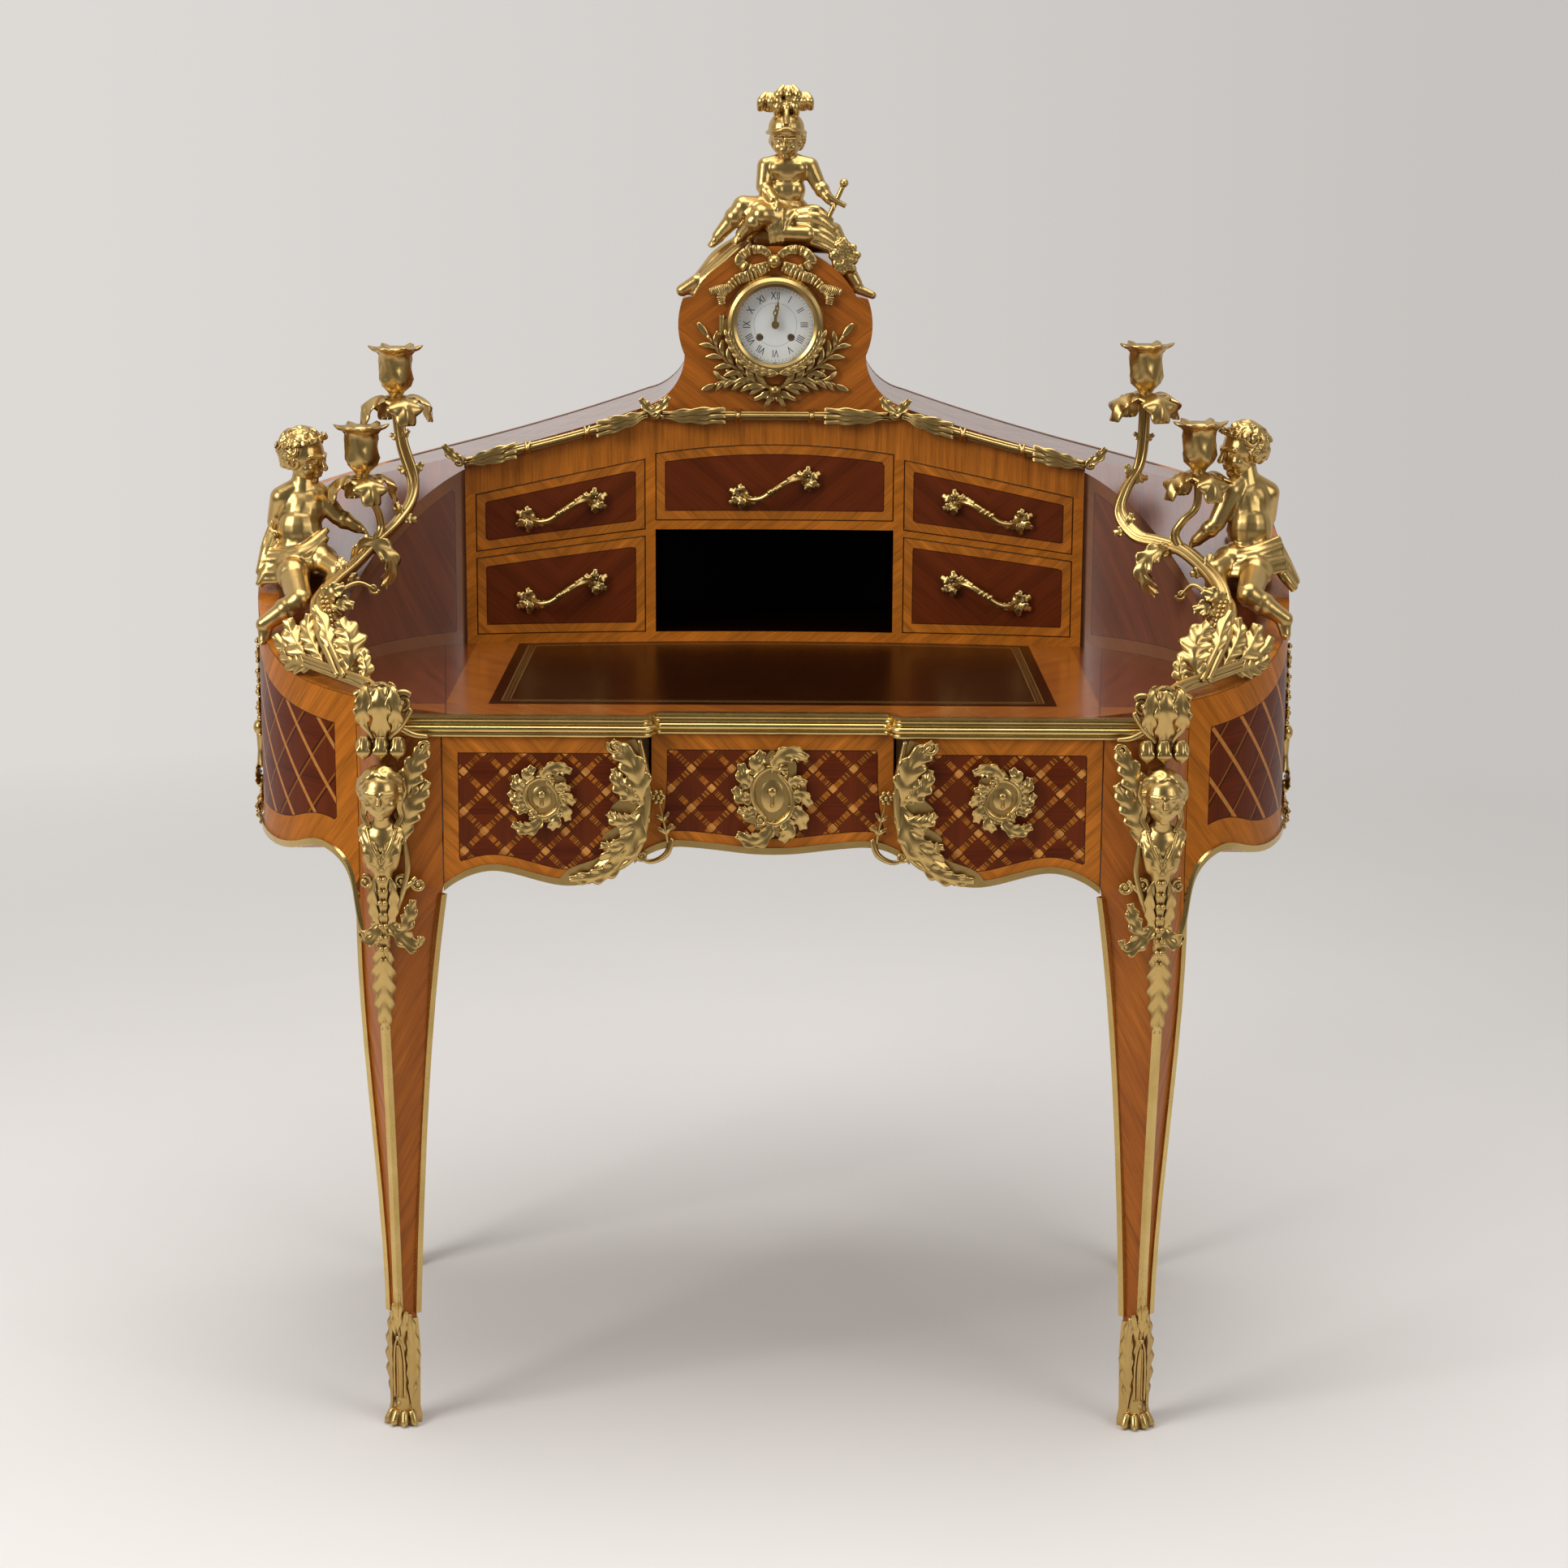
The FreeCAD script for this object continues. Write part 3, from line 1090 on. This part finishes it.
def make_dial(seat):
    """Enamel dial with its middle hole and two winding holes."""
    plate = bound("Part::Cylinder", "dial_plate", Radius="sizes.dial_radius", Height="sizes.dial_depth")
    holes = []
    for name, side, radius in (("middle", 0, "sizes.hour_arbor + 0.5"), ("left", -1, "sizes.winding_hole"),
                               ("right", 1, "sizes.winding_hole")):
        hole = bound("Part::Cylinder", f"dial_hole_{name}", Radius=radius, Height="sizes.dial_depth + 2")
        hole.setExpression("Placement.Base.x", f"{side} * sizes.winding_x")
        hole.setExpression("Placement.Base.y", f"{-abs(side)} * sizes.winding_drop")
        hole.Placement.Base.z = -1
        holes.append(hole)
    cutters = doc.addObject("Part::MultiFuse", "dial_holes")
    cutters.Shapes = holes
    dial = doc.addObject("Part::Cut", "dial")
    dial.Base = plate
    dial.Tool = cutters
    dial.Label = "dial"
    dial.Placement = FreeCAD.Placement(at(0, seat + S.dial_depth, above(S.dial_rise)),
                                       FreeCAD.Rotation(Vec(1, 0, 0), 90))
    NODES.append(dial)


def bezel_shape(y, knuckle):
    """Cast bezel with a groove for its glass and its hinge knuckle."""
    ring = facing_ring(bezel_profile(), y)
    groove_y = y - 0.75 * S.bezel_depth
    groove = disc(S.bezel_inner + 1.5, groove_y, groove_y + S.glass_thickness)
    return largest(fused([ring, largest(knuckle)]).cut(groove).cut(
        disc(S.bezel_inner, y - S.bezel_depth, y + 1)))


def hand_shape(length, arbor, y, width, turn):
    """Pierced clock hand on its arbor, pointing up and then turned clockwise."""
    bore = arbor + S.pin_fit
    hub = bore + 2.2
    half = [(0.25 * width, 0), (0.2 * width, 0.4 * length), (0.5 * width, 0.55 * length),
            (0.12 * width, 0.75 * length)]
    blade = [(-x, z) for x, z in half] + [(0, length)] + list(reversed(half))
    mid = above(S.dial_rise)
    plate = front_prism([(x, mid + z) for x, z in blade], y, y + 1)
    eye = disc(0.22 * width, y - 1, y + 2, 0, mid + 0.54 * length)
    boss = disc(hub, y, y + 2)
    solid = fused([plate, boss]).cut(disc(bore, y - 1, y + 4)).cut(eye)
    solid = largest(solid)
    solid.rotate(at(0, y, mid), Vec(0, 1, 0), turn)
    return solid


def back_door_shape(y, knuckle):
    """Round door behind the movement, with a domed middle."""
    radius, thick = S.door_radius, S.door_thickness
    plate = disc(radius, y, y + thick)
    boss = disc(0.7 * radius, y + thick, y + thick + 1.2)
    return fused([plate, boss, largest(knuckle)])


def pendulum_shape(y, pin_z):
    """Short pendulum hung on the movement's suspension pin."""
    eye = disc(3.4, y, y + 4, 0, pin_z).cut(disc(1.0 + S.pin_fit, y - 1, y + 5, 0, pin_z))
    end = pin_z - S.pendulum_length
    rod = Part.makeCylinder(1.2, S.pendulum_length - 2.5, at(0, y + 2, end))
    bob = disc(S.bob_radius, y - 1, y + 5, 0, end)
    return fused([eye, rod, bob])


# Gilt mounts and figures

def clock_mount_shapes():
    """Ribbon bow above the bezel and two leaf sprays under it, on the clock's front board."""
    y0, y1 = S.clock_front_y - S.mount_depth, S.clock_front_y
    mid = above(S.dial_rise)
    gap = S.bezel_outer + 5

    def leaf(x, z, angle, long, wide):
        ring = Part.Ellipse(Vec(0, 0, 0), long, wide)
        plate = Part.Face(Part.Wire(ring.toShape())).extrude(Vec(0, 0, y1 - y0))
        plate.rotate(Vec(0, 0, 0), Vec(0, 0, 1), angle)
        plate.rotate(Vec(0, 0, 0), Vec(1, 0, 0), 90)
        plate.translate(at(x, y1, mid + z))
        return plate
    spray = []
    for index in range(6):
        angle = math.radians(205 + 12 * index)
        reach = gap + 10 + 1.5 * index * (5 - index) * 0.4
        spray.append(leaf(reach * math.cos(angle), reach * math.sin(angle), 112 + 12 * index, 12, 6))
    left = fused(spray)
    knot = leaf(0, -gap - 9, 0, 9, 7)
    sprays = fused([left, mirrored(left), knot])
    loop = [leaf(-26, gap - 10, 28, 22, 5), leaf(-50, gap - 28, 52, 14, 4)]
    bow = fused([leaf(0, gap, 0, 14, 6)] + loop + [mirrored(part) for part in loop])
    ring = disc(gap - 2, y0 - 1, y1 + 1)
    return [largest(sprays.cut(ring)), largest(bow.cut(ring))]


def clock_figure_shape(neighbours):
    """Seated figure in a plumed helmet on the dome, with drapery and a trophy down the dome's slopes."""
    top = above(S.dome_rise)
    r = S.clock_head_radius

    def p(x, y, z):
        return at(x, S.clock_front_y + 28 + y, top + z)
    solids = [
        limb(p(12, 0, 118), 0.86 * r, p(11, 2, 126), r),
        limb(p(-6, 0, 150), 12, p(14, 0, 160), 13),
        limb(p(15, 0, 159), 12.4, p(30, 2, 154), 8),
        limb(p(14, 4, 98), 9, p(12, 2, 116), 9),
        limb(p(15, 4, 36), 24, p(15, 4, 80), 22),
        limb(p(-6, 4, 88), 9, p(-7, -8, 62), 7.5),
        limb(p(-7, -8, 62), 7.1, p(0, -16, 42), 6.5),
        limb(p(35, 4, 88), 9, p(44, -6, 64), 7.5),
        limb(p(44, -6, 64), 7.1, p(60, -10, 44), 6.5),
        limb(p(56, -8, 26), 4, p(78, -12, 58), 3),
        limb(p(8, 0, 28), 17, p(-42, -10, 30), 13),
        limb(p(-42, -10, 30), 12, p(-70, -12, -6), 8),
        limb(p(10, -12, 26), 16, p(-10, -22, 30), 13),
        limb(p(-10, -22, 30), 12, p(-40, -24, 0), 8),
        limb(p(-4, 0, 12), 20, p(48, 2, 14), 18),
        limb(p(-30, 4, -2), 15, p(-84, 6, -38), 9),
        limb(p(48, 2, 6), 17, p(82, 4, -28), 13),
        limb(p(82, 4, -28), 12.3, p(92, -2, -40), 10),
    ]
    return cleared(fused(solids), neighbours)


FIGURES = {
    "left": {"head": (-513, 309, 229), "neck": (-511, 306, 199), "chest": (-513, 303, 175),
             "hips": (-518, 292, 118), "shoulder_in": (-494, 309, 181), "elbow_in": (-478, 305, 155),
             "hand_in": (-462, 300, 143), "shoulder_out": (-532, 298, 182), "elbow_out": (-540, 316, 153),
             "hand_out": (-515, 338, 150), "knee_out": (-520, 258, 63), "foot_out": (-560, 262, 27),
             "knee_in": (-500, 322, 97), "foot_in": (-484, 318, 67)},
    "right": {"head": (505, 309, 239), "neck": (510, 306, 210), "chest": (513, 304, 185),
              "hips": (517, 296, 121), "shoulder_in": (498, 296, 189), "elbow_in": (480, 290, 155),
              "hand_in": (462, 298, 139), "shoulder_out": (530, 308, 191), "elbow_out": (530, 330, 159),
              "hand_out": (500, 340, 151), "knee_out": (514, 262, 83), "foot_out": (562, 262, 51),
              "knee_in": (474, 276, 97), "foot_in": (476, 262, 65)},
}


def arm_figure_shape(name, neighbours):
    """Cherub astride an arm, reaching for the branch in front of him."""
    pose = {key: at(x, y, above(rise)) for key, (x, y, rise) in FIGURES[name].items()}
    r = S.head_radius
    back = pose["head"] + Vec(0, 6, 4)
    solids = [limb(pose["head"], r, back, 0.98 * r), limb(pose["neck"], 8.5, pose["head"], 9),
              limb(pose["hips"], 26, pose["chest"], 22)]
    for side in ("in", "out"):
        solids.append(limb(pose[f"shoulder_{side}"], 10.5, pose[f"elbow_{side}"], 8.6))
        solids.append(limb(pose[f"elbow_{side}"], 8.1, pose[f"hand_{side}"], 6.5))
        solids.append(limb(pose["hips"] + Vec(0, 0, -6), 19, pose[f"knee_{side}"], 13.4))
        solids.append(limb(pose[f"knee_{side}"], 12.6, pose[f"foot_{side}"], 8))
    return cleared(fused(solids), neighbours)


SOCKETS = {"left_high": (-414, 360, 336), "left_low": (-444, 288, 258),
           "right_high": (405, 360, 343), "right_low": (457, 288, 266)}


def socket_point(name):
    """Top of a candle socket's drip pan."""
    x, y, rise = SOCKETS[name]
    return at(x, y, above(rise))


def socket_shape(name):
    """Bell-shaped candle socket with a flared drip pan, bored for the candle."""
    tall = S.socket_length
    bore, pan = S.candle_bore, S.pan_radius
    floor = tall - S.candle_depth
    profile = [(0, 0), (6, 0), (8, 0.08 * tall), (5.5, 0.16 * tall), (bore + 2, 0.36 * tall),
               (bore + 5, 0.6 * tall), (bore + 2.5, 0.78 * tall), (bore + 3.5, 0.88 * tall),
               (0.72 * pan, 0.9 * tall), (pan, 0.97 * tall), (pan, tall), (0.7 * pan, 0.95 * tall),
               (bore + 2, 0.96 * tall), (bore + 1.5, tall), (bore, tall), (bore, floor), (0, floor)]
    return turned(profile, socket_point(name) - Vec(0, 0, tall))


def branch_shape(name, neighbours):
    """Scrolled candle branch: a leafy foot on the arm, a long arm and a short one."""
    side = SIDES[name]
    high = socket_point(f"{name}_high") - Vec(0, 0, S.socket_length)
    low = socket_point(f"{name}_low") - Vec(0, 0, S.socket_length)
    fork = at(side * 462, 286, above(109))
    foot = at(side * 474, 262, above(67))
    bend = at(side * 424, 338, above(165))
    wrist = at(side * 406, 358, above(210))
    elbow = fork + (low - fork) * 0.55 + Vec(side * 6, 0, 0)
    tail = at(side * 452, 246, above(31))
    solids = [limb(foot, 17, fork, 12.4), limb(foot, 15.5, tail, 9),
              limb(fork, 11.2, bend, 7.4), limb(bend, 6.9, wrist, 6.2),
              limb(wrist, 5.8, high - Vec(0, 0, 2), 6.5),
              limb(fork, 10.4, elbow, 6.6), limb(elbow, 6.1, low - Vec(0, 0, 2), 6.4),
              limb(bend, 10, bend + Vec(side * -14, 0, 16), 4),
              limb(elbow, 9, elbow + Vec(side * 13, 0, 15), 4),
              ball(high - Vec(0, 0, 12), 10), ball(low - Vec(0, 0, 10), 10.3)]
    return cleared(fused(solids), neighbours)


def swoop_rise(y):
    """Height of the arm's top line above the writing surface, at a depth behind the front plane."""
    rise = S.shoulder_rise - S.arm_rise
    for (y0, share0), (y1, share1) in zip(ARM_SWEEP, ARM_SWEEP[1:]):
        if y <= y1:
            return S.arm_rise + rise * (share0 + (share1 - share0) * (y - y0) / (y1 - y0))
    return S.shoulder_rise


def arm_mount_shape(neighbours):
    """Gilt acanthus that sweeps along the left arm's top, from a scroll at the front corner."""
    stations = [(44, 0.42, 11), (80, 0.45, 17), (130, 0.45, 22), (190, 0.42, 27), (250, 0.36, 25),
                (310, 0.3, 17), (360, 0.24, 9)]
    points, radii = [], []
    for y, share, radius in stations:
        reach = math.sqrt(max(0.0, S.lobe_radius ** 2 - (y - S.lobe_y) ** 2))
        inner = S.lobe_x + reach
        x = inner + share * (plan_x(y) - inner)
        points.append(at(-x, y, above(swoop_rise(y) + 0.25 * radius)))
        radii.append(radius)
    spray = tube(points, radii)
    scroll = ball(at(-S.leg_x - 8, 26, above(8)), 15)
    neck = limb(at(-S.leg_x - 8, 26, above(8)), 12, points[1], 12)
    return cleared(fused([spray, scroll, neck]), neighbours)


def corner_mount_shape(rear, neighbours):
    """Gilt corner mount: a woman's head and shoulders over a long tapering leaf, on a leg's arris."""
    arris = leg_sections(rear)[-1][0]

    def p(x, y, drop):
        return Vec(arris[0] + x, arris[1] + y, below(drop))
    leaf = [limb(p(0, -2, 309), 3, p(0, -3, 120), 15)]
    shoulders = [limb(p(0, -3, 162), 13, p(-19, 4, 118), 10), limb(p(0, -3, 162), 13.6, p(19, 4, 118), 10),
                 limb(p(-19, 2, 112), 12, p(19, 2, 112), 11.4), limb(p(0, -6, 117), 15.6, p(0, -10, 92), 10)]
    head = [limb(p(0, -13, 70), 15, p(0, -12, 54), 18)]
    capital = [limb(p(-20, -2, 34), 10, p(20, -2, 34), 9.4), limb(p(0, -2, 40), 17, p(0, 0, 2), 14)]
    whole = fused(leaf + shoulders + head + capital).transformed(leg_frame(rear).toMatrix())
    return cleared(whole, neighbours)


def side_mount_shape(neighbours):
    """Gilt flower drop over a cartouche, on the left wall's widest point."""
    def p(y, drop):
        return at(-S.half_width - 1, S.centre_setback + y, below(drop))
    solids = [limb(p(0, -20), 8, p(0, 22), 5), limb(p(0, 22), 7, p(0, 50), 10),
              limb(p(0, 50), 7, p(0, 92), 5),
              limb(p(-14, 104), 9, p(14, 104), 9), limb(p(0, 100), 11, p(0, 134), 14),
              limb(p(0, 134), 12.4, p(0, S.apron_middle - 4), 9)]
    return cleared(fused(solids), neighbours)


def make_mounts(solids):
    """All gilt bronze that sits on the woodwork."""
    corner = []
    for rear in (False, True):
        near = [solids["leg_rear" if rear else "leg_front"], solids["side_wall"], solids["back_wall"],
                solids["top"], solids["moulding"], solids["strip"]]
        left = corner_mount_shape(rear, near)
        corner += [left, mirrored(left)]
    node("corner_mounts", corner)
    side = side_mount_shape([solids["side_wall"], solids["strip"]])
    node("side_mounts", [side, mirrored(side)])
    wood = [solids["arm"], solids["side_wall"]]
    spray = arm_mount_shape(wood + [solids["top"], solids["moulding"], corner[0], solids["leg_front"]])
    node("arm_mounts", [spray, mirrored(spray)])
    sockets = {name: socket_shape(name) for name in SOCKETS}
    node("candle_sockets", list(sockets.values()))
    for name in SIDES:
        flip = (lambda shape: shape) if name == "left" else mirrored
        base = [flip(shape) for shape in wood + [spray]] + [solids["boards"], solids["hood"]]
        near = base + [sockets[f"{name}_high"], sockets[f"{name}_low"]]
        branch = branch_shape(name, near)
        node(f"candelabrum_{name}", branch)
        node(f"cherub_{name}", arm_figure_shape(name, near + [branch]))


def make_carcass():
    """Legs, walls, writing top, arms and everything fixed to them."""
    legs = {"front": leg_solid(False), "rear": leg_solid(True)}
    sabots = []
    fillets = []
    for place, leg in legs.items():
        node(f"leg_{place}_left", leg)
        node(f"leg_{place}_right", mirrored(leg))
        sabot = sabot_solid(place == "rear", leg)
        sabots += [sabot, mirrored(sabot)]
        strips = [cleared(strip, [sabot]) for strip in fillet_solids(place == "rear", leg)]
        fillets += strips + [mirrored(strip) for strip in strips]
    node("sabots", sabots)
    side, back = wall_shapes(legs)
    node("side_wall_left", side)
    node("side_wall_right", mirrored(side))
    node("back_wall", back)
    side_strip, back_strip = strip_shapes(legs)
    corner_near = [side, back, side_strip, back_strip]
    fillets = [cleared(strip, corner_near + [mirrored(side), mirrored(side_strip)]) for strip in fillets]
    node("edge_fillets", fillets + [side_strip, mirrored(side_strip), back_strip])
    slab, leather, moulding = top_shapes(legs)
    node("writing_top", slab)
    node("leather_panel", leather)
    node("top_moulding", moulding)
    arm = arm_shape()
    node("arm_left", arm)
    node("arm_right", mirrored(arm))
    return {"leg_front": legs["front"], "leg_rear": legs["rear"], "side_wall": side, "back_wall": back,
            "strip": side_strip.fuse(back_strip), "top": slab, "moulding": moulding, "arm": arm}


def shape_of(label):
    """Shape of a sub-part that is already made."""
    return next(item.Shape for item in NODES if item.Label == label)


def write_parts():
    """Check every object and write each sub-part to its own file."""
    doc.recompute()
    for item in doc.Objects:
        if "Invalid" in item.State or "Error" in item.State:
            raise RuntimeError(f"{item.Label} failed: {item.State}")
    os.makedirs("parts", exist_ok=True)
    for item in NODES:
        if item.Shape.isNull() or not item.Shape.isValid():
            raise RuntimeError(f"{item.Label} has no valid shape")
        item.Shape.exportStep(f"parts/{item.Label}.step")


solids = make_carcass()
make_frieze(solids["leg_front"])
make_gallery()
make_clock(solids["back_wall"])
solids["boards"] = shape_of("gallery_boards")
solids["hood"] = shape_of("gallery_hood")
make_mounts(solids)
node("clock_mounts", clock_mount_shapes())
node("clock_figure", clock_figure_shape([solids["hood"], shape_of("clock_front")]))
write_parts()
